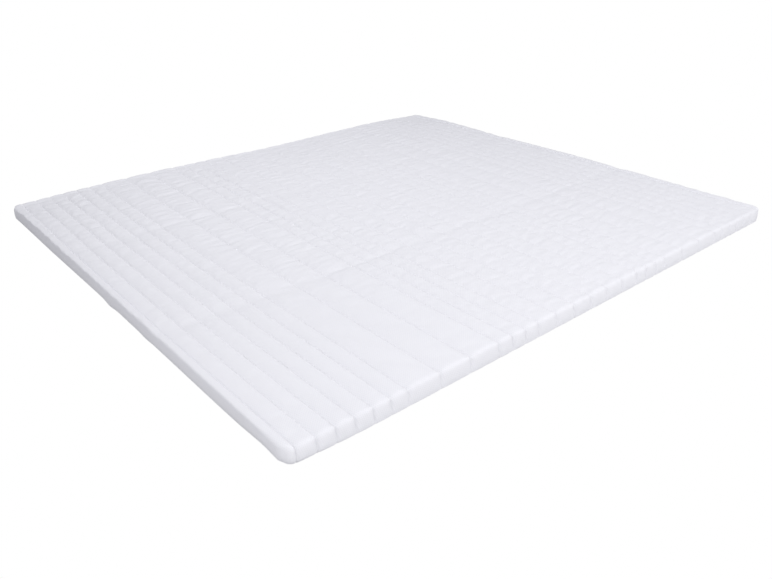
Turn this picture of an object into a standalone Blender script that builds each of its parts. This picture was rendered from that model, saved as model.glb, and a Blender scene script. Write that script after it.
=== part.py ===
"""Mattress topper for a double bed: one filled, quilted pad lying flat.

Metres, +Z up.  X runs along the bed, Y across it, and the origin is the middle
of the flat underside.  The seams cross the pad along Y, go over its long top
edges and run down the long walls.  The two end walls are plain.
"""
from collections import namedtuple
from math import copysign, cos, exp, pi, sin, sqrt

import bmesh
import bpy

LENGTH = 2.000              # along X
WIDTH = 1.800               # along Y
HEIGHT = 0.050              # floor to the crown of the widest channels
CORNER_RADIUS = 0.049       # of the four corners, seen from above
TOP_ROUND = 0.016           # radius of the top edge
WALL_BULGE = 0.0015         # how far the wall stands out at half height
SEAM_NOTCH = 0.0030         # how deep a seam cuts into the long walls

# The seams, from the middle one out to either end, in bands of equal channels.
# crown is how far a channel's middle stands above the seams beside it.
Band = namedtuple("Band", "channels width crown")
BANDS = (
    Band(channels=3, width=0.075, crown=0.0040),
    Band(channels=3, width=0.050, crown=0.0032),
    Band(channels=3, width=0.100, crown=0.0048),
    Band(channels=6, width=0.050, crown=0.0032),
)
END_STRIP = Band(channels=1, width=0.025, crown=0.0034)
SEAM_HEIGHT = HEIGHT - max(band.crown for band in BANDS)
CROWN_FULLNESS = 2.4        # 2 is a parabola, more is flatter with steeper flanks
NARROW_STATIONS = (0, 0.14, 0.5, 0.86)
WIDE_STATIONS = (0, 0.10, 0.27, 0.5, 0.73, 0.90)
END_STATIONS = (0, 0.42, 0.77, 1)
WIDE_CHANNEL = 0.070        # channels wider than this take the wide stations

# The sewn panel isn't quite square: its seams stand furthest out a little in front
# of the middle and draw in with the square of the distance from there.
SEAMS_STAND_OUT = 0.003     # metres per metre of x
SEAMS_DRAW_IN = 0.013       # metres per metre of x, a metre away along Y
SEAMS_WIDEST_AT = -0.195    # y

# Troughs across the channels, where the pad was folded in three to be packed.
Fold = namedtuple("Fold", "y depth reach")
FOLDS = (
    Fold(y=-0.31, depth=0.0022, reach=0.030),
    Fold(y=0.33, depth=0.0018, reach=0.034),
)

# The filling lies unevenly: soft swells (+) and hollows (-), most of them at the rim.
Swell = namedtuple("Swell", "x y height reach")
SWELLS = (
    Swell(x=-0.97, y=0.88, height=-0.0045, reach=0.10),
    Swell(x=-0.40, y=0.88, height=0.0024, reach=0.22),
    Swell(x=0.10, y=0.88, height=-0.0045, reach=0.18),
    Swell(x=0.68, y=0.88, height=0.0028, reach=0.13),
    Swell(x=0.97, y=0.85, height=-0.0055, reach=0.12),
    Swell(x=0.97, y=0.38, height=-0.0025, reach=0.16),
    Swell(x=0.97, y=-0.10, height=0.0024, reach=0.18),
    Swell(x=0.97, y=-0.70, height=-0.0025, reach=0.14),
    Swell(x=-0.60, y=0.10, height=-0.0012, reach=0.22),
)

# The bottom edge is tucked under further at the ends than along the sides, but
# stands out nearly square at one corner.
SIDE_BOTTOM_ROUND = 0.011
END_BOTTOM_ROUND = 0.017
SQUARE_CORNER_ROUND = 0.004
ROUND_UP_TO = 0.10          # y on the -X wall where the edge starts to square up
SQUARE_FROM = 0.50          # and where it is square

ROW_SPACING = 0.15          # between plain rows of points along a channel
FOLD_CLEARANCE = 1.6        # reaches of a fold that plain rows keep away from it
LAST_SEAM = LENGTH / 2 - END_STRIP.width


def channels_of_one_half():
    """Each channel from the middle seam out, as its first seam, width and crown."""
    channels = []
    seam = 0.0
    for band in BANDS:
        for _ in range(band.channels):
            channels.append((seam, band.width, band.crown))
            seam += band.width
    return channels


CHANNELS = channels_of_one_half()


def puff(x):
    """How full the pad is at x (0 on a seam, 1 mid channel), and the crown there."""
    x = abs(x)
    if x >= LAST_SEAM:
        across = min((x - LAST_SEAM) / END_STRIP.width, 0.5)
        crown = END_STRIP.crown
    else:
        seam, width, crown = [channel for channel in CHANNELS if channel[0] <= x][-1]
        across = (x - seam) / width
    return 1 - abs(2 * across - 1) ** CROWN_FULLNESS, crown


def columns():
    """The x of every line of points along a channel, from one end to the other."""
    half = []
    for seam, width, _ in CHANNELS:
        stations = WIDE_STATIONS if width > WIDE_CHANNEL else NARROW_STATIONS
        half += [seam + station * width for station in stations]
    half += [LAST_SEAM + station * END_STRIP.width for station in END_STATIONS]
    return [-x for x in reversed(half[1:])] + half


def rows():
    """Every line of points across the channels, as a share of the half width, -1 to 1."""
    count = round(WIDTH / ROW_SPACING)
    plain = [WIDTH * (row / count - 0.5) for row in range(count + 1)]
    kept = [y for y in plain if all(abs(y - fold.y) > FOLD_CLEARANCE * fold.reach for fold in FOLDS)]
    for fold in FOLDS:
        kept += [fold.y - fold.reach, fold.y, fold.y + fold.reach]
    return [2 * y / WIDTH for y in sorted(kept)]


def column_at(x, share, inset):
    """Where column x crosses a row, on a ring that lies inset from the outline."""
    from_widest = share * WIDTH / 2 - SEAMS_WIDEST_AT
    draw = 1 + SEAMS_STAND_OUT - SEAMS_DRAW_IN * from_widest ** 2
    if abs(x) <= LAST_SEAM:
        return x * draw
    last_seam = LAST_SEAM * draw
    beyond = (abs(x) - LAST_SEAM) / END_STRIP.width
    return copysign(last_seam + beyond * (LENGTH / 2 - inset - last_seam), x)


def half_width_at(x, inset):
    """The outline's y at x: straight long sides, round corners."""
    into_corner = abs(x) - (LENGTH / 2 - CORNER_RADIUS)
    if into_corner <= 0:
        return WIDTH / 2 - inset
    radius = CORNER_RADIUS - inset
    return WIDTH / 2 - CORNER_RADIUS + sqrt(max(radius ** 2 - into_corner ** 2, 0))


def settled(x, share, inset, z):
    """A point of the pad, once it has its outline, folds and swells."""
    at_side = column_at(x, copysign(1, share), inset)
    x, y = column_at(x, share, inset), share * half_width_at(at_side, inset)
    height = sum(swell.height * exp(-((x - swell.x) ** 2 + (y - swell.y) ** 2) / swell.reach ** 2)
                 for swell in SWELLS)
    height -= sum(fold.depth * exp(-((y - fold.y) / fold.reach) ** 2) for fold in FOLDS)
    return (x, y, z * (1 + height / HEIGHT))


def bottom_round(x, share):
    """The radius of the bottom edge below a point of the rim."""
    at_end = max(abs(x) - LAST_SEAM, 0) / END_STRIP.width
    end_round = END_BOTTOM_ROUND
    if x < 0:
        squared = (share * WIDTH / 2 - ROUND_UP_TO) / (SQUARE_FROM - ROUND_UP_TO)
        end_round += (SQUARE_CORNER_ROUND - END_BOTTOM_ROUND) * min(max(squared, 0), 1)
    return SIDE_BOTTOM_ROUND + (end_round - SIDE_BOTTOM_ROUND) * at_end


def wall_profile(x, share):
    """The pad's edge from the top face to the floor, as insets and heights."""
    fullness, crown = puff(x)
    notch = SEAM_NOTCH * (1 - fullness)
    flank = WALL_BULGE + notch
    top = SEAM_HEIGHT + crown * fullness
    shoulder = HEIGHT - TOP_ROUND
    foot = bottom_round(x, share)
    profile = []
    for turn in (pi / 4, pi / 2):
        profile.append((TOP_ROUND - (TOP_ROUND - flank) * sin(turn),
                        shoulder + (top - shoulder) * cos(turn)))
    profile.append((notch, (shoulder + foot) / 2))
    for turn in (0, pi / 4, pi / 2):
        profile.append((flank + foot * (1 - cos(turn)), foot * (1 - sin(turn))))
    return profile


def add_top(mesh, xs, shares):
    """The quilted top face, as a grid of vertices, one list for each column."""
    grid = []
    for x in xs:
        fullness, crown = puff(x)
        z = SEAM_HEIGHT + crown * fullness
        grid.append([mesh.verts.new(settled(x, share, TOP_ROUND, z)) for share in shares])
    for left, right in zip(grid, grid[1:]):
        for row in range(len(shares) - 1):
            mesh.faces.new((left[row], right[row], right[row + 1], left[row + 1]))
    return grid


def rim_of(grid):
    """The columns and rows round the top face's rim, anticlockwise."""
    last_column, last_row = len(grid) - 1, len(grid[0]) - 1
    front = [(column, 0) for column in range(last_column)]
    right = [(last_column, row) for row in range(last_row)]
    back = [(column, last_row) for column in range(last_column, 0, -1)]
    left = [(0, row) for row in range(last_row, 0, -1)]
    return front + right + back + left


def add_walls(mesh, xs, shares, grid):
    """Rings of faces from the top face's rim, round both edges, to the underside."""
    rim = rim_of(grid)
    profiles = [wall_profile(xs[column], shares[row]) for column, row in rim]
    upper = [grid[column][row] for column, row in rim]
    for level in zip(*profiles):
        lower = [mesh.verts.new(settled(xs[column], shares[row], inset, z))
                 for (column, row), (inset, z) in zip(rim, level)]
        for here in range(len(rim)):
            after = (here + 1) % len(rim)
            mesh.faces.new((upper[here], lower[here], lower[after], upper[after]))
        upper = lower
    mesh.faces.new(reversed(upper))


def cover_material():
    """White polyester knit, matt."""
    material = bpy.data.materials.new("white_knit_cover")
    material.use_nodes = True
    shader = material.node_tree.nodes["Principled BSDF"]
    shader.inputs["Base Color"].default_value = (0.82, 0.83, 0.87, 1)
    shader.inputs["Roughness"].default_value = 0.9
    shader.inputs["Metallic"].default_value = 0.0
    return material


def build_topper():
    """The whole topper as one closed solid."""
    mesh = bmesh.new()
    xs, shares = columns(), rows()
    grid = add_top(mesh, xs, shares)
    add_walls(mesh, xs, shares, grid)
    bmesh.ops.triangulate(mesh, faces=mesh.faces[:])
    data = bpy.data.meshes.new("quilted_topper")
    mesh.to_mesh(data)
    mesh.free()
    data.materials.append(cover_material())
    data.shade_smooth()
    topper = bpy.data.objects.new("quilted_topper", data)
    bpy.context.collection.objects.link(topper)


for leftover in list(bpy.data.objects):
    bpy.data.objects.remove(leftover, do_unlink=True)
build_topper()
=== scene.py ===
"""Looks of a quilted mattress topper: one knit cover sewn through its filling, and its thread.

Metres, +Z up, X along the bed and Y across it.  The pad lies flat with the middle of its
underside at the origin.
"""
from collections import namedtuple
from math import cos, exp, pi, radians, sin

import bpy
import numpy as np
from mathutils import Matrix, Vector


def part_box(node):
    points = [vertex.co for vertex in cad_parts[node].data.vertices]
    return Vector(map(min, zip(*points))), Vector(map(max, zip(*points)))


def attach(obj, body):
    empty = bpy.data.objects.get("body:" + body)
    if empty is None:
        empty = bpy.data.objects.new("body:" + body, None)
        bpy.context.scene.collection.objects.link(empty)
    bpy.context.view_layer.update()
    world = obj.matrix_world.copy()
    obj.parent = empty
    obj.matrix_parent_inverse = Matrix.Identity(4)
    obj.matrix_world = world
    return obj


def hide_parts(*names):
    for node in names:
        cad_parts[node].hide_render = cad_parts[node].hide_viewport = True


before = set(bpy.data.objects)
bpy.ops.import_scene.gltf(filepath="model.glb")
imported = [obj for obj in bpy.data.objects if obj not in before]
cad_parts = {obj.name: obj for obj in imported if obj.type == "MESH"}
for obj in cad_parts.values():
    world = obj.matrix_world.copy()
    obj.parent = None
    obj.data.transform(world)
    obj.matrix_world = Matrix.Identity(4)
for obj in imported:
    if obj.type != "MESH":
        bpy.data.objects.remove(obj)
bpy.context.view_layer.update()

# ---------------------------------------------------------------------------------------
# Camera.  It stands off the pad's near left corner and looks down at it, so that both long
# runs of the edge recede.  Its place was solved from the pad's corners, edges and seams.

SUBJECT = Vector((-0.3463, -0.4342, 0.0))       # the point at the middle of the view
AZIMUTH = radians(-40.187)
ELEVATION = radians(27.639)
ROLL = radians(-0.405)
DISTANCE = 2.1223
LENS_MM = 33.856                                # on a 36 mm wide sensor


def aim_camera():
    """The camera, with its own axes worked out from the angles above."""
    back = Vector((sin(AZIMUTH) * cos(ELEVATION), -cos(AZIMUTH) * cos(ELEVATION), sin(ELEVATION)))
    level = Vector((cos(AZIMUTH), sin(AZIMUTH), 0))
    upright = back.cross(level)
    right = cos(ROLL) * level + sin(ROLL) * upright
    up = cos(ROLL) * upright - sin(ROLL) * level
    camera = bpy.data.objects.new("view_camera", bpy.data.cameras.new("view_camera"))
    camera.data.lens = LENS_MM
    camera.data.sensor_width = 36.0
    camera.data.clip_end = 200.0
    camera.matrix_world = (Matrix.Translation(SUBJECT + back * DISTANCE)
                           @ Matrix((right, up, back)).transposed().to_4x4())
    bpy.context.collection.objects.link(camera)
    bpy.context.scene.camera = camera


aim_camera()

# ---------------------------------------------------------------------------------------
# The cover: a top panel of white waffle knit, quilted right through to the filling in
# channels of three widths, with its long walls in the same piece, plain walls at both ends
# and a plain underside.  The knit is gathered on the seams, so it puckers between them.

low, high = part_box("quilted_topper")
LENGTH = round(high[0] - low[0], 4)
WIDTH = round(high[1] - low[1], 4)
HEIGHT = 0.050              # floor to the crown of the widest channels
CORNER_RADIUS = 0.034       # of the four corners, seen from above
TOP_ROUND = 0.016           # how far in from the wall the top edge starts to round off
SIDE_EDGE_POWER = 0.75      # 1 rounds the top edge evenly, and less leaves it squarer
END_EDGE_POWER = 0.38
WALL_BULGE = 0.0009         # how far the wall stands out at half height
SEAM_NOTCH = 0.0042         # depth of a seam's wide groove at the top of the long walls
NOTCH_AT_FLOOR = 0.2        # share of a seam's depth that is left at the floor
SEAMS_EASE_FROM = 0.94      # share of the half width where the seams begin to run out at the back
SEAMS_AT_BACK = 0.45        # and the share of their depth that is left at the back edge

# The seams, from the middle one out to either end, in bands of equal channels.
# A flatness of 2 makes the crown a parabola, and more makes it flatter with steeper flanks.
Band = namedtuple("Band", "channels width crown flatness")
BANDS = (
    Band(channels=3, width=0.075, crown=0.0044, flatness=2.4),
    Band(channels=3, width=0.050, crown=0.0038, flatness=2.2),
    Band(channels=3, width=0.100, crown=0.0050, flatness=3.0),
    Band(channels=6, width=0.050, crown=0.0038, flatness=2.2),
)
END_STRIP = Band(channels=1, width=0.025, crown=0.0044, flatness=2.6)
SEAM_HEIGHT = HEIGHT - max(band.crown for band in BANDS)
SEAM_CREASE = 0.0034        # how much deeper the thread pulls the knit in, right at a seam
CREASE_REACH = 0.0039       # how far from the seam that fades to a third
CREASE_EASES_FROM = -0.40   # x where the seams of the top begin to lie slacker
CREASE_EASED_AT = 0.30      # and where they are slackest
CREASE_LEFT = 0.3           # with this share of the crease's depth left
LINE_SPACING = 0.0125       # of the lines of points along a channel
LINES_AT_A_SEAM = 2         # lines added for each of the channel's two seams
SEAM_CLOSER = 0.12          # how much the lines crowd towards the seams
END_LINES = (0, 0.08, 0.24, 0.46, 0.72, 1)      # shares of the end strip's width
ROW_SPACING = 0.0061        # of the rows of points across the channels

# The sewn panel isn't quite square: its seams stand furthest out a little in front of the
# middle, and draw in with the square of the distance from there.
SEAMS_STAND_OUT = 0.003     # metres per metre of x
SEAMS_DRAW_IN = 0.013       # metres per metre of x, a metre away along Y
SEAMS_WIDEST_AT = -0.195    # y

# Troughs across the channels, where the pad was folded in three to be packed.
Fold = namedtuple("Fold", "y depth reach")
FOLDS = (
    Fold(y=-0.31, depth=0.0022, reach=0.030),
    Fold(y=0.33, depth=0.0018, reach=0.034),
)

# The filling lies unevenly: soft swells (+) and hollows (-), most of them at the rim.
Swell = namedtuple("Swell", "x y height reach")
SWELLS = (
    Swell(x=-0.97, y=0.88, height=-0.0070, reach=0.13),
    Swell(x=-0.40, y=0.88, height=0.0024, reach=0.22),
    Swell(x=0.10, y=0.88, height=-0.0045, reach=0.18),
    Swell(x=0.68, y=0.88, height=0.0028, reach=0.13),
    Swell(x=0.97, y=0.85, height=-0.0080, reach=0.12),
    Swell(x=0.97, y=0.38, height=-0.0025, reach=0.16),
    Swell(x=0.97, y=-0.10, height=0.0024, reach=0.18),
    Swell(x=0.97, y=-0.70, height=-0.0025, reach=0.14),
    Swell(x=-0.60, y=0.10, height=-0.0012, reach=0.22),
)

# Sharper creases within and beside the fold lines, from one point to another.  A depth
# below 0 is a ridge.
CREASE_END = 0.25           # share of a crease's length over which either end fades out
Crease = namedtuple("Crease", "x0 y0 x1 y1 depth reach")
CREASES = (
    Crease(x0=-0.52, y0=-0.318, x1=-0.17, y1=-0.314, depth=0.0010, reach=0.0080),
    Crease(x0=0.38, y0=-0.306, x1=0.86, y1=-0.298, depth=-0.0008, reach=0.0090),
    Crease(x0=-0.60, y0=0.326, x1=-0.34, y1=0.334, depth=0.0009, reach=0.0080),
    Crease(x0=-0.49, y0=-0.086, x1=-0.20, y1=-0.066, depth=0.0009, reach=0.0075),
    Crease(x0=-0.10, y0=-0.775, x1=0.30, y1=-0.764, depth=0.0007, reach=0.0080),
)

# The bottom edge is tucked under further at the ends than along the sides and corners, and
# furthest at the near left corner.  It stands out nearly square at the back of the -X wall,
# and bulges out at two places along it.
SIDE_BOTTOM_ROUND = 0.003
END_BOTTOM_ROUND = 0.012
SQUARE_CORNER_ROUND = 0.004
ROUND_UP_TO = 0.10          # y on the -X wall where the edge starts to square up
SQUARE_FROM = 0.50          # and where it is square
CORNER_FILLED = 0.045       # how far from a corner the edge stays as full as the sides
NEAR_CORNER_TUCK = 0.013    # how much rounder the edge is right at the near left corner
TUCK_REACH = 0.12
Bulge = namedtuple("Bulge", "y less_round reach")
FOOT_BULGES = (
    Bulge(y=-0.005, less_round=0.008, reach=0.035),
    Bulge(y=-0.25, less_round=0.004, reach=0.030),
)

# How much longer the knit is than the seams it is gathered on, and where: an even share
# all over, and patches with more (+) or less (-).
GATHER = 0.017
Patch = namedtuple("Patch", "x y more across along")
PATCHES = (
    Patch(x=-0.50, y=0.28, more=0.005, across=0.18, along=0.32),
    Patch(x=-0.82, y=0.80, more=0.010, across=0.20, along=0.20),
    Patch(x=0.50, y=-0.10, more=-0.002, across=0.50, along=0.70),
    Patch(x=-0.66, y=-0.70, more=-0.018, across=0.45, along=0.38),
    Patch(x=-0.84, y=0.02, more=-0.010, across=0.22, along=0.48),
    Patch(x=0.30, y=0.80, more=0.014, across=0.90, along=0.35),
    Patch(x=-0.99, y=0.00, more=-0.008, across=0.03, along=2.00),
    Patch(x=0.99, y=0.00, more=-0.008, across=0.03, along=2.00),
)
GATHER_SLANT = 0.0045       # how far the knit is pulled askew, metres per metre
MOST_GATHERED = 0.025       # the gather at which the knit's small puckers are at their fullest
GATHERED_ON_WALLS = 0.25    # share of them left on the walls, where the knit is pulled smooth

# Where the rings of points lie, down round the top edge, on the wall and round the bottom edge.
EDGE_TURNS = tuple(radians(turn) for turn in (16, 34, 52, 70, 90))
WALL_STEPS = (1 / 3, 2 / 3)
FOOT_TURNS = tuple(radians(turn) for turn in (0, 30, 60, 90))


def stations(width):
    """Where the lines of a channel lie, as shares of its width, closer beside its seams."""
    count = round(width / LINE_SPACING) + 2 * LINES_AT_A_SEAM
    even = np.arange(count) / count
    return even - SEAM_CLOSER * np.sin(2 * pi * even)


def lines_of_one_half():
    """The lines of points from the middle seam out: x, fullness (0 on a seam), crown, and
    how far the thread's pull sinks the knit there."""
    lines = []
    seam = 0.0
    for band in BANDS:
        for _ in range(band.channels):
            for station in stations(band.width):
                fullness = 1 - abs(2 * station - 1) ** band.flatness
                to_seam = min(station, 1 - station) * band.width
                sunk = SEAM_CREASE * exp(-to_seam / CREASE_REACH)
                lines.append((seam + station * band.width, fullness, band.crown, sunk))
            seam += band.width
    for station in END_LINES:
        fullness = 1 - abs(2 * min(station, 0.5) - 1) ** END_STRIP.flatness
        sunk = SEAM_CREASE * exp(-station * END_STRIP.width / CREASE_REACH)
        lines.append((seam + station * END_STRIP.width, fullness, END_STRIP.crown, sunk))
    return np.array(lines)


half = lines_of_one_half()
LAST_SEAM = LENGTH / 2 - END_STRIP.width
line_x, fullness, crown, crease = np.concatenate([half[:0:-1] * (-1, 1, 1, 1), half]).T
sunk = crease * np.interp(line_x, (CREASE_EASES_FROM, CREASE_EASED_AT), (1, CREASE_LEFT))
share = np.linspace(-1, 1, round(WIDTH / ROW_SPACING))      # of the half width


def column_at(x, share, inset):
    """Where line x crosses a row, on a ring that lies inset from the outline."""
    from_widest = share * WIDTH / 2 - SEAMS_WIDEST_AT
    draw = 1 + SEAMS_STAND_OUT - SEAMS_DRAW_IN * from_widest ** 2
    beyond = np.maximum(np.abs(x) - LAST_SEAM, 0) / END_STRIP.width
    to_rim = LENGTH / 2 - inset - LAST_SEAM * draw
    return np.where(beyond > 0, np.sign(x) * (LAST_SEAM * draw + beyond * to_rim), x * draw)


def half_width_at(x, inset):
    """The outline's y at x: straight long sides, round corners."""
    into_corner = np.maximum(np.abs(x) - (LENGTH / 2 - CORNER_RADIUS), 0)
    arc = np.sqrt(np.maximum((CORNER_RADIUS - inset) ** 2 - into_corner ** 2, 0))
    return WIDTH / 2 - CORNER_RADIUS + np.where(into_corner > 0, arc, CORNER_RADIUS - inset)


def crease_depth(x, y):
    """How deep the sharper creases are at a place, fading out towards their ends."""
    depth = 0 * (x + y)
    for crease in CREASES:
        run = np.array((crease.x1 - crease.x0, crease.y1 - crease.y0))
        length = np.hypot(*run)
        along = ((x - crease.x0) * run[0] + (y - crease.y0) * run[1]) / length
        aside = ((y - crease.y0) * run[0] - (x - crease.x0) * run[1]) / length
        ends = np.clip(np.minimum(along, length - along) / (CREASE_END * length), 0, 1)
        depth = depth + crease.depth * np.sin(ends * pi / 2) * np.exp(-(aside / crease.reach) ** 2)
    return depth


def settled(x, share, inset, z):
    """Points of the pad, once it has its outline, folds and swells."""
    at_side = column_at(x, np.where(share < 0, -1.0, 1.0), inset)
    x, y = column_at(x, share, inset), share * half_width_at(at_side, inset)
    height = sum(swell.height * np.exp(-((x - swell.x) ** 2 + (y - swell.y) ** 2) / swell.reach ** 2)
                 for swell in SWELLS)
    height -= sum(fold.depth * np.exp(-((y - fold.y) / fold.reach) ** 2) for fold in FOLDS)
    height -= crease_depth(x, y)
    return np.stack((x, y, z * (1 + height / HEIGHT)), axis=-1)


def end_share(x, share):
    """0 along the long sides and at the corners, growing to 1 along the end walls."""
    at_end = np.maximum(np.abs(x) - LAST_SEAM, 0) / END_STRIP.width
    from_corner = (1 - np.abs(share)) * WIDTH / 2
    return at_end * (1 - np.exp(-(from_corner / CORNER_FILLED) ** 2))


def bottom_round(x, share):
    """The radius of the bottom edge below a point of the rim."""
    y = share * WIDTH / 2
    squared = np.clip((y - ROUND_UP_TO) / (SQUARE_FROM - ROUND_UP_TO), 0, 1)
    less = sum(bulge.less_round * np.exp(-((y - bulge.y) / bulge.reach) ** 2) for bulge in FOOT_BULGES)
    left_round = END_BOTTOM_ROUND + (SQUARE_CORNER_ROUND - END_BOTTOM_ROUND) * squared - less
    end_round = np.where(x < 0, left_round, END_BOTTOM_ROUND)
    from_near_corner = np.hypot(x + LENGTH / 2, y + WIDTH / 2)
    tuck = NEAR_CORNER_TUCK * np.exp(-(from_near_corner / TUCK_REACH) ** 2)
    return SIDE_BOTTOM_ROUND + (end_round - SIDE_BOTTOM_ROUND) * end_share(x, share) + tuck


def wall_rings(x, share, fullness, crown, crease, sunk):
    """The pad's edge from the top face to the floor, as insets and heights of each ring."""
    groove = SEAM_NOTCH * (1 - fullness) ** 2
    top = SEAM_HEIGHT + crown * fullness - sunk
    shoulder = HEIGHT - TOP_ROUND
    foot = bottom_round(x, share)
    power = SIDE_EDGE_POWER + (END_EDGE_POWER - SIDE_EDGE_POWER) * end_share(x, share)

    def notch_at(z):
        """A seam's depth at a height: its groove fades all the way down to the floor, and
        the crease in it only over the lower half."""
        groove_left, crease_left = np.minimum(z / shoulder, 1), np.minimum(2 * z / shoulder, 1)
        return (groove * (NOTCH_AT_FLOOR + (1 - NOTCH_AT_FLOOR) * groove_left)
                + crease * (NOTCH_AT_FLOOR + (1 - NOTCH_AT_FLOOR) * crease_left))

    rings = []
    for turn in EDGE_TURNS:
        inset = TOP_ROUND - (TOP_ROUND - WALL_BULGE - groove - crease) * sin(turn) ** power
        rings.append((inset, shoulder + (top - shoulder) * max(cos(turn), 0) ** power))
    for step in WALL_STEPS:
        z = shoulder + (foot - shoulder) * step
        rings.append((notch_at(z) + WALL_BULGE * (2 * step - 1) ** 2, z))
    for turn in FOOT_TURNS:
        z = foot * (1 - sin(turn))
        rings.append((WALL_BULGE + notch_at(z) + foot * (1 - cos(turn)), z))
    return rings


def rim_of(columns, rows):
    """The columns and rows round the top face's rim, anticlockwise."""
    front = [(column, 0) for column in range(columns - 1)]
    right = [(columns - 1, row) for row in range(rows - 1)]
    back = [(column, rows - 1) for column in range(columns - 1, 0, -1)]
    left = [(0, row) for row in range(rows - 1, 0, -1)]
    return np.array(front + right + back + left).T


rim_column, rim_row = rim_of(len(line_x), len(share))
seam_left = np.interp(share, (SEAMS_EASE_FROM, 1), (1, SEAMS_AT_BACK))      # of a seam's depth
full = 1 - np.outer(1 - fullness, seam_left)
top_height = SEAM_HEIGHT + crown[:, None] * full - np.outer(sunk, seam_left)
top_face = settled(line_x[:, None], share[None], TOP_ROUND, top_height)
rim_x, rim_share, rim_left = line_x[rim_column], share[rim_row], seam_left[rim_row]
edge = wall_rings(rim_x, rim_share, full[rim_column, rim_row], crown[rim_column],
                  crease[rim_column] * rim_left, sunk[rim_column] * rim_left)
walls = np.array([settled(rim_x, rim_share, inset, z) for inset, z in edge])
sewn_shape = np.concatenate([top_face.reshape(-1, 3), walls.reshape(-1, 3)])

columns, rows = top_face.shape[:2]
grid = np.arange(columns * rows).reshape(columns, rows)     # the number of each point
rings = grid.size + np.arange(walls[..., 0].size).reshape(walls.shape[:2])

# The panel's lines of points, each from the floor in front, over the top, to the floor behind,
# and the lines of both ends, from their floor up to the last seam, or from it down.
front_rim = np.arange(columns)
back_rim = 2 * (columns - 1) + (rows - 1) - front_rim
left_rim = -np.arange(rows) % rings.shape[1]
right_rim = columns - 1 + np.arange(rows)
panel = np.concatenate([rings[::-1, front_rim].T, grid, rings[:, back_rim].T], axis=1)
left_end = np.concatenate([rings[::-1, left_rim], grid[:len(END_LINES)]])
right_end = np.concatenate([grid[-len(END_LINES):], rings[:, right_rim]])


def quads_of(grid):
    """The four-cornered faces between the lines of a grid of point numbers."""
    return np.stack((grid[:-1, :-1], grid[1:, :-1], grid[1:, 1:], grid[:-1, 1:]), -1).reshape(-1, 4)


def cover_faces():
    """The quads of the top face and the walls, and the one flat face of the underside."""
    wall = np.concatenate([grid[rim_column, rim_row][None], rings])
    round_wall = np.concatenate([wall, wall[:, :1]], axis=1)
    return np.concatenate([quads_of(grid), quads_of(round_wall)]).tolist() + [rings[-1, ::-1].tolist()]


def add_piece(name, points, faces, material=None):
    """A new mesh object with smooth faces, standing at the origin of the frame."""
    mesh = bpy.data.meshes.new(name)
    mesh.from_pydata(points.tolist(), [], faces)
    if material:
        mesh.materials.append(material)
    mesh.shade_smooth()
    piece = bpy.data.objects.new(name, mesh)
    bpy.context.collection.objects.link(piece)
    return piece


SETTLE_FRAMES = 18          # how long the simulation runs
GATHERED_BY = 10            # the frame at which the seams have drawn the knit up
FREE_RINGS = 4              # of the walls, from the top, where the knit may still pucker
FILLING_HOLD = 0.14         # how firmly the filling under the knit keeps it in place, 0 to 1
PUCKER_CAP = 0.0030         # how far any point may move
UNEVEN = 0.00015            # how unevenly the filling pushes at the start
BESIDE_SEAMS = [1, -2]      # the lines of a strip that stand next to its first and last one


def gather_at(x, y):
    """How much longer the knit is at a place than the seams beside it."""
    gather = GATHER + sum(
        patch.more * np.exp(-((x - patch.x) / patch.across) ** 2 - ((y - patch.y) / patch.along) ** 2)
        for patch in PATCHES)
    return np.maximum(gather, 0)


def cut_excess(sewn):
    """How far each point of a channel lies along Y in the flat cut, beyond its sewn place."""
    x, y = sewn[..., 0], sewn[..., 1]
    gather = gather_at(x.mean(), y)
    steps = np.diff(y, axis=1) * (gather[:, 1:] + gather[:, :-1]) / 2
    excess = np.concatenate([np.zeros((len(x), 1)), np.cumsum(steps, axis=1)], axis=1)
    return excess - excess[:, excess.shape[1] // 2, None] + GATHER_SLANT * x


def cloth_of_channel(name, sewn, held):
    """A strip of knit in its cut shape, which its held points then draw up to its sewn one."""
    cut = sewn.copy()
    cut[..., 1] += cut_excess(sewn)
    numbers = np.arange(held.size).reshape(held.shape)
    strip = add_piece(name, cut.reshape(-1, 3), quads_of(numbers).tolist())
    holding = strip.vertex_groups.new(name="held")
    holding.add(numbers[held].tolist(), 1.0, "REPLACE")
    holding.add(numbers[~held].tolist(), FILLING_HOLD, "REPLACE")
    strip.shape_key_add(name="cut", from_mix=False)
    drawn_up = strip.shape_key_add(name="drawn_up", from_mix=False)
    drawn_up.data.foreach_set("co", sewn.ravel())
    for value, frame_number in ((0, 1), (1, GATHERED_BY)):
        drawn_up.value = value
        drawn_up.keyframe_insert("value", frame=frame_number)
    cloth = strip.modifiers.new("knit", "CLOTH")
    cloth.point_cache.frame_end = SETTLE_FRAMES
    knit = cloth.settings
    knit.quality = 4
    knit.mass = 0.1
    knit.tension_stiffness = knit.compression_stiffness = 20
    knit.shear_stiffness = 10
    knit.bending_stiffness = 0.5
    knit.vertex_group_mass = "held"
    knit.use_pressure = True
    knit.uniform_pressure_force = 0.45
    knit.effector_weights.gravity = 0
    return strip


def strips_of_knit():
    """The channels, then both ends, each as the numbers of its points and which are held."""
    still = len(walls) - FREE_RINGS
    held = np.zeros(panel.shape, bool)
    held[:, :still] = held[:, -still:] = True
    held[fullness == 0] = True
    seams = np.flatnonzero(fullness == 0)
    strips = [(panel[first:last + 1], held[first:last + 1]) for first, last in zip(seams, seams[1:])]
    for numbers, seam, foot in ((left_end, -1, slice(0, still)), (right_end, 0, slice(-still, None))):
        held = np.zeros(numbers.shape, bool)
        held[seam] = held[foot] = held[:, :2] = held[:, -2:] = True
        strips.append((numbers, held))
    return strips


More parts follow.
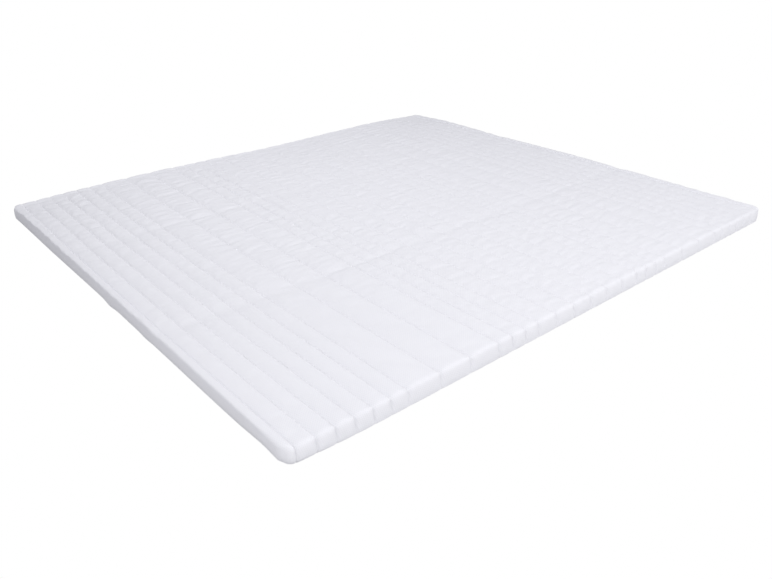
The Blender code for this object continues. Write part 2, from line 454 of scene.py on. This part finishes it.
def evened(moved):
    """How far a strip's points have moved, without the finest zigzag along the channel.  The
    stitches hold the knit flattest, so beside the seams it is evened out twice more."""
    for lines in (slice(None), BESIDE_SEAMS, BESIDE_SEAMS):
        moved[lines, 1:-1] = (moved[lines, :-2] + 2 * moved[lines, 1:-1] + moved[lines, 2:]) / 4
    return moved


def puckered():
    """The cover's points once a cloth simulation has gathered the knit onto its seams, one
    strip of cloth for each channel and each end."""
    points = sewn_shape.copy()
    chance = np.random.default_rng(5)
    strips = []
    for number, (numbers, held) in enumerate(strips_of_knit()):
        sewn = sewn_shape[numbers]
        sewn[..., 2] += np.where(held, 0, chance.normal(0, UNEVEN, held.shape))
        strips.append((numbers, cloth_of_channel(f"strip_{number}", sewn, held)))
    for frame_number in range(1, SETTLE_FRAMES + 1):
        bpy.context.scene.frame_set(frame_number)
    graph = bpy.context.evaluated_depsgraph_get()
    for numbers, strip in strips:
        found = np.empty(numbers.size * 3, np.float32)
        strip.evaluated_get(graph).data.vertices.foreach_get("co", found)
        moved = evened(found.reshape(*numbers.shape, 3) - sewn_shape[numbers])
        distance = np.linalg.norm(moved, axis=-1, keepdims=True)
        capped = moved * np.minimum(1, PUCKER_CAP / np.maximum(distance, 1e-9))
        points[numbers] = sewn_shape[numbers] + capped
    for _, strip in strips:
        bpy.data.actions.remove(strip.data.shape_keys.animation_data.action)
        bpy.data.meshes.remove(strip.data)
    bpy.context.scene.frame_set(1)
    return points


def unrolled():
    """Each point's place on the flat knit, in metres: down a wall, straight out from the rim."""
    path = np.concatenate([top_face[rim_column, rim_row][None], walls])
    down = np.cumsum(np.linalg.norm(np.diff(path, axis=0), axis=2), axis=0)
    outward = (walls[len(EDGE_TURNS) - 1] - path[0])[:, :2]
    outward /= np.linalg.norm(outward, axis=1, keepdims=True)
    flat_walls = path[0, :, :2] + down[..., None] * outward
    return np.concatenate([top_face[..., :2].reshape(-1, 2), flat_walls.reshape(-1, 2)])


def linear(code):
    """A six-digit sRGB hex colour as linear red, green, blue and alpha."""
    srgb = [int(code[place:place + 2], 16) / 255 for place in (0, 2, 4)]
    return [c / 12.92 if c <= 0.04045 else ((c + 0.055) / 1.055) ** 2.4 for c in srgb] + [1]


def new_material(name):
    """An empty material and its node tree, with a Principled shader in it."""
    material = bpy.data.materials.new(name)
    material.use_nodes = True
    return material, material.node_tree.nodes["Principled BSDF"]


def add_node(material, kind, inputs=None, **settings):
    """Adds one node with its settings; inputs hold values, or sockets to link from."""
    node = material.node_tree.nodes.new(kind)
    for name, value in settings.items():
        setattr(node, name, value)
    for key, value in (inputs or {}).items():
        if isinstance(value, bpy.types.NodeSocket):
            material.node_tree.links.new(value, node.inputs[key])
        else:
            node.inputs[key].default_value = value
    return node


WAFFLE_MM = 5.5             # pitch of the knit's dimples; the real ones are finer and wouldn't show
WAFFLE_DEPTH_MM = 0.3
WAFFLE_ANGLES = (15, 75, 135)       # degrees from X of the three ways that the dimples line up
SMALL_PUCKER_MM = (60, 20)  # length across a channel, and pitch along it
SMALL_PUCKER_SLANT = radians(12)    # of the small puckers, from square across the channels
SMALL_PUCKER_DEPTH_MM = 3.6
TONE_MM = 160               # size of the slow patches of tone, from lint and handling


def waffle_knit():
    """Polyester waffle knit, matt and very slightly cool: it scatters light evenly, has a
    soft pale bloom at grazing angles, and its honeycomb dimples show only near the eye.
    The dimples are painted a shade darker than the ribs: painted shade in their hollows."""
    material, shader = new_material("waffle_knit")
    shader.inputs["Roughness"].default_value = 0.92
    shader.inputs["IOR"].default_value = 1.45
    shader.inputs["Specular IOR Level"].default_value = 0.25
    shader.inputs["Sheen Weight"].default_value = 0.12
    shader.inputs["Sheen Roughness"].default_value = 0.6
    flat = add_node(material, "ShaderNodeUVMap", uv_map="flat_knit").outputs["UV"]
    waves = 2 * pi / (WAFFLE_MM / 1000 * cos(pi / 6))
    relief = 0.5            # less a sixth of three cosines: 0 in a dimple, and most on the ribs
    for angle in WAFFLE_ANGLES:
        across = (waves * cos(radians(angle)), waves * sin(radians(angle)), 0)
        along = add_node(material, "ShaderNodeVectorMath", {0: flat, 1: across}, operation="DOT_PRODUCT")
        wave = add_node(material, "ShaderNodeMath", {0: along.outputs["Value"]}, operation="COSINE")
        relief = add_node(material, "ShaderNodeMath", {
            0: wave.outputs["Value"], 1: -1 / 6, 2: relief}, operation="MULTIPLY_ADD").outputs["Value"]
    tone = add_node(material, "ShaderNodeTexNoise", {
        "Vector": flat, "Scale": 1000 / TONE_MM, "Detail": 3.0}, noise_dimensions="2D")
    ribs = add_node(material, "ShaderNodeMix", {
        "Factor": tone.outputs["Fac"], "A": linear("F1F1F4"), "B": linear("F5F5F8")}, data_type="RGBA")
    # Painted shade: the dimples get the darker E9E9ED and the ribs the paler tone, as if the knit's
    # hollows lay in shade.
    colour = add_node(material, "ShaderNodeMix", {
        "Factor": relief, "A": linear("E9E9ED"), "B": ribs.outputs["Result"]}, data_type="RGBA")
    slanted = add_node(material, "ShaderNodeMapping", {
        "Vector": flat, "Rotation": (0, 0, -SMALL_PUCKER_SLANT),
        "Scale": (1000 / SMALL_PUCKER_MM[0], 1000 / SMALL_PUCKER_MM[1], 1)})
    puckers = add_node(material, "ShaderNodeTexNoise", {
        "Vector": slanted.outputs["Vector"], "Scale": 1.0, "Detail": 1.0, "Roughness": 0.4},
        noise_dimensions="2D")
    gathered = add_node(material, "ShaderNodeAttribute", attribute_name="gathered")
    puckered_knit = add_node(material, "ShaderNodeBump", {
        "Height": puckers.outputs["Fac"], "Strength": gathered.outputs["Fac"],
        "Distance": SMALL_PUCKER_DEPTH_MM / 1000})
    bump = add_node(material, "ShaderNodeBump", {
        "Height": relief, "Strength": 1.0, "Distance": WAFFLE_DEPTH_MM / 1000,
        "Normal": puckered_knit.outputs["Normal"]})
    links = material.node_tree.links
    links.new(colour.outputs["Result"], shader.inputs["Base Color"])
    links.new(bump.outputs["Normal"], shader.inputs["Normal"])
    return material


cover_shape = puckered()
cover = add_piece("knit_cover", cover_shape, cover_faces(), waffle_knit())
cover.data.polygons[-1].use_smooth = False
flat_knit = cover.data.uv_layers.new(name="flat_knit")
corners = np.empty(len(cover.data.loops), np.int32)
cover.data.loops.foreach_get("vertex_index", corners)
flat_knit.uv.foreach_set("vector", unrolled()[corners].ravel())
gathered = np.clip(gather_at(sewn_shape[:, 0], sewn_shape[:, 1]) / MOST_GATHERED, 0, 1)
gathered[grid.size:] *= GATHERED_ON_WALLS
cover.data.attributes.new("gathered", "FLOAT", "POINT").data.foreach_set("value", gathered)
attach(cover, "root")
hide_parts("quilted_topper")

# ---------------------------------------------------------------------------------------
# The sewing thread: white polyester, in one long lockstitch seam between each two channels.
# Each stitch lies in the groove that it pulls into the pad, over the edge and down the walls.

STITCH_PITCH = 0.0060
STITCH_LENGTH = 0.0050
THREAD_RADIUS = 0.00025     # a little more than the real thread's, which wouldn't show
THREAD_SUNK = 0.0002        # how far its middle lies below the knit
STITCH_SIDES = 4
STITCH_TIP = 0.25           # share of a stitch's length over which either end tapers


def stitches_along(path):
    """The two ends of every stitch, and the way out of the pad there."""
    walked = np.concatenate([[0], np.cumsum(np.linalg.norm(np.diff(path, axis=0), axis=1))])
    starts = np.arange(STITCH_PITCH, walked[-1] - 2 * STITCH_PITCH, STITCH_PITCH)

    def at(distance):
        return np.stack([np.interp(distance, walked, path[:, axis]) for axis in range(3)], -1)

    first, last = at(starts), at(starts + STITCH_LENGTH)
    run = last - first
    run /= np.linalg.norm(run, axis=1, keepdims=True)
    out = np.cross((1.0, 0.0, 0.0), run)
    out /= np.linalg.norm(out, axis=1, keepdims=True)
    return first, last, run, out


def thread_mesh(seams):
    """Every stitch of every seam as a small bead with two pointed ends."""
    points = []
    for line in seams:
        first, last, run, out = stitches_along(cover_shape[panel[line]])
        aside = np.cross(run, out)
        down = out * THREAD_SUNK
        bead = [first - down]
        for along in (STITCH_TIP, 1 - STITCH_TIP):
            middle = first * (1 - along) + last * along - down
            for side in range(STITCH_SIDES):
                turn = 2 * pi * side / STITCH_SIDES
                bead.append(middle + THREAD_RADIUS * (cos(turn) * out + sin(turn) * aside))
        bead.append(last - down)
        points.append(np.stack(bead, axis=1))
    points = np.concatenate(points)
    tip, near, far, other_tip = 0, 1, 1 + STITCH_SIDES, 1 + 2 * STITCH_SIDES
    faces = []
    for side in range(STITCH_SIDES):
        after = (side + 1) % STITCH_SIDES
        faces.append((tip, near + after, near + side))
        faces.append((near + side, near + after, far + after, far + side))
        faces.append((far + side, far + after, other_tip))
    starts = range(0, points[..., 0].size, points.shape[1])
    all_faces = [tuple(start + corner for corner in face) for start in starts for face in faces]
    return points.reshape(-1, 3), all_faces


def polyester_thread():
    """Spun polyester thread, white with a faint lustre: a shade brighter than the knit."""
    material, shader = new_material("polyester_thread")
    shader.inputs["Base Color"].default_value = linear("F0F1F5")
    shader.inputs["Roughness"].default_value = 0.6
    shader.inputs["IOR"].default_value = 1.5
    return material


thread = add_piece("seam_thread", *thread_mesh(np.flatnonzero(fullness == 0)), polyester_thread())
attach(thread, "root")

# ---------------------------------------------------------------------------------------
# The studio: a table that the eye sees as plain white, an even pale room, and five soft
# lamps, most of their light from the front, so that the left wall and the far end are in shade.

TABLE_SIZE = 60.0
TABLE_GAP = 0.0005          # how far the table lies below the pad
ROOM_STRENGTH = 0.508
Lamp = namedtuple("Lamp", "name x y z size watts")
LAMPS = (
    Lamp("front_lamp", x=-0.6, y=-2.6, z=1.6, size=1.6, watts=19.4),
    Lamp("right_lamp", x=1.2, y=-2.2, z=1.2, size=1.6, watts=10.4),
    Lamp("far_right_lamp", x=4.2, y=-1.4, z=1.6, size=1.6, watts=12.0),
    Lamp("left_lamp", x=-2.4, y=-1.5, z=1.2, size=1.6, watts=10.6),
    Lamp("high_lamp", x=-0.1, y=0.6, z=2.2, size=1.6, watts=16.4),
)
LAMPS_TOWARDS = Vector((0.1, -0.2, 0.0))


def white_table():
    """Opal acrylic, lit from behind: pure white to the eye, but it throws no more light on
    the pad than a pale grey surface would."""
    material, shader = new_material("opal_acrylic_table")
    shader.inputs["Base Color"].default_value = linear("D0D0D0")
    shader.inputs["Roughness"].default_value = 1.0
    seen = add_node(material, "ShaderNodeLightPath").outputs["Is Camera Ray"]
    glow = add_node(material, "ShaderNodeEmission", {"Color": linear("FFFFFF"), "Strength": 1.0})
    mixed = add_node(material, "ShaderNodeMixShader", {
        0: seen, 1: shader.outputs["BSDF"], 2: glow.outputs["Emission"]})
    output = material.node_tree.nodes["Material Output"]
    material.node_tree.links.new(mixed.outputs["Shader"], output.inputs["Surface"])
    side = TABLE_SIZE / 2
    outline = np.array([(-side, -side, 0), (side, -side, 0), (side, side, 0), (-side, side, 0)])
    table = add_piece("studio_table", outline, [(0, 1, 2, 3)], material)
    table.location.z = -TABLE_GAP


def light_studio():
    """The room's even light and the lamps."""
    world = bpy.data.worlds.new("pale_room")
    world.use_nodes = True
    world.node_tree.nodes["Background"].inputs["Color"].default_value = linear("F8F8FF")
    world.node_tree.nodes["Background"].inputs["Strength"].default_value = ROOM_STRENGTH
    bpy.context.scene.world = world
    for row in LAMPS:
        lamp = bpy.data.objects.new(row.name, bpy.data.lights.new(row.name, "AREA"))
        lamp.data.size = row.size
        lamp.data.energy = row.watts
        lamp.location = (row.x, row.y, row.z)
        lamp.rotation_euler = (LAMPS_TOWARDS - lamp.location).to_track_quat("-Z", "Y").to_euler()
        bpy.context.collection.objects.link(lamp)
    bpy.context.scene.view_settings.view_transform = "Standard"


white_table()
light_studio()
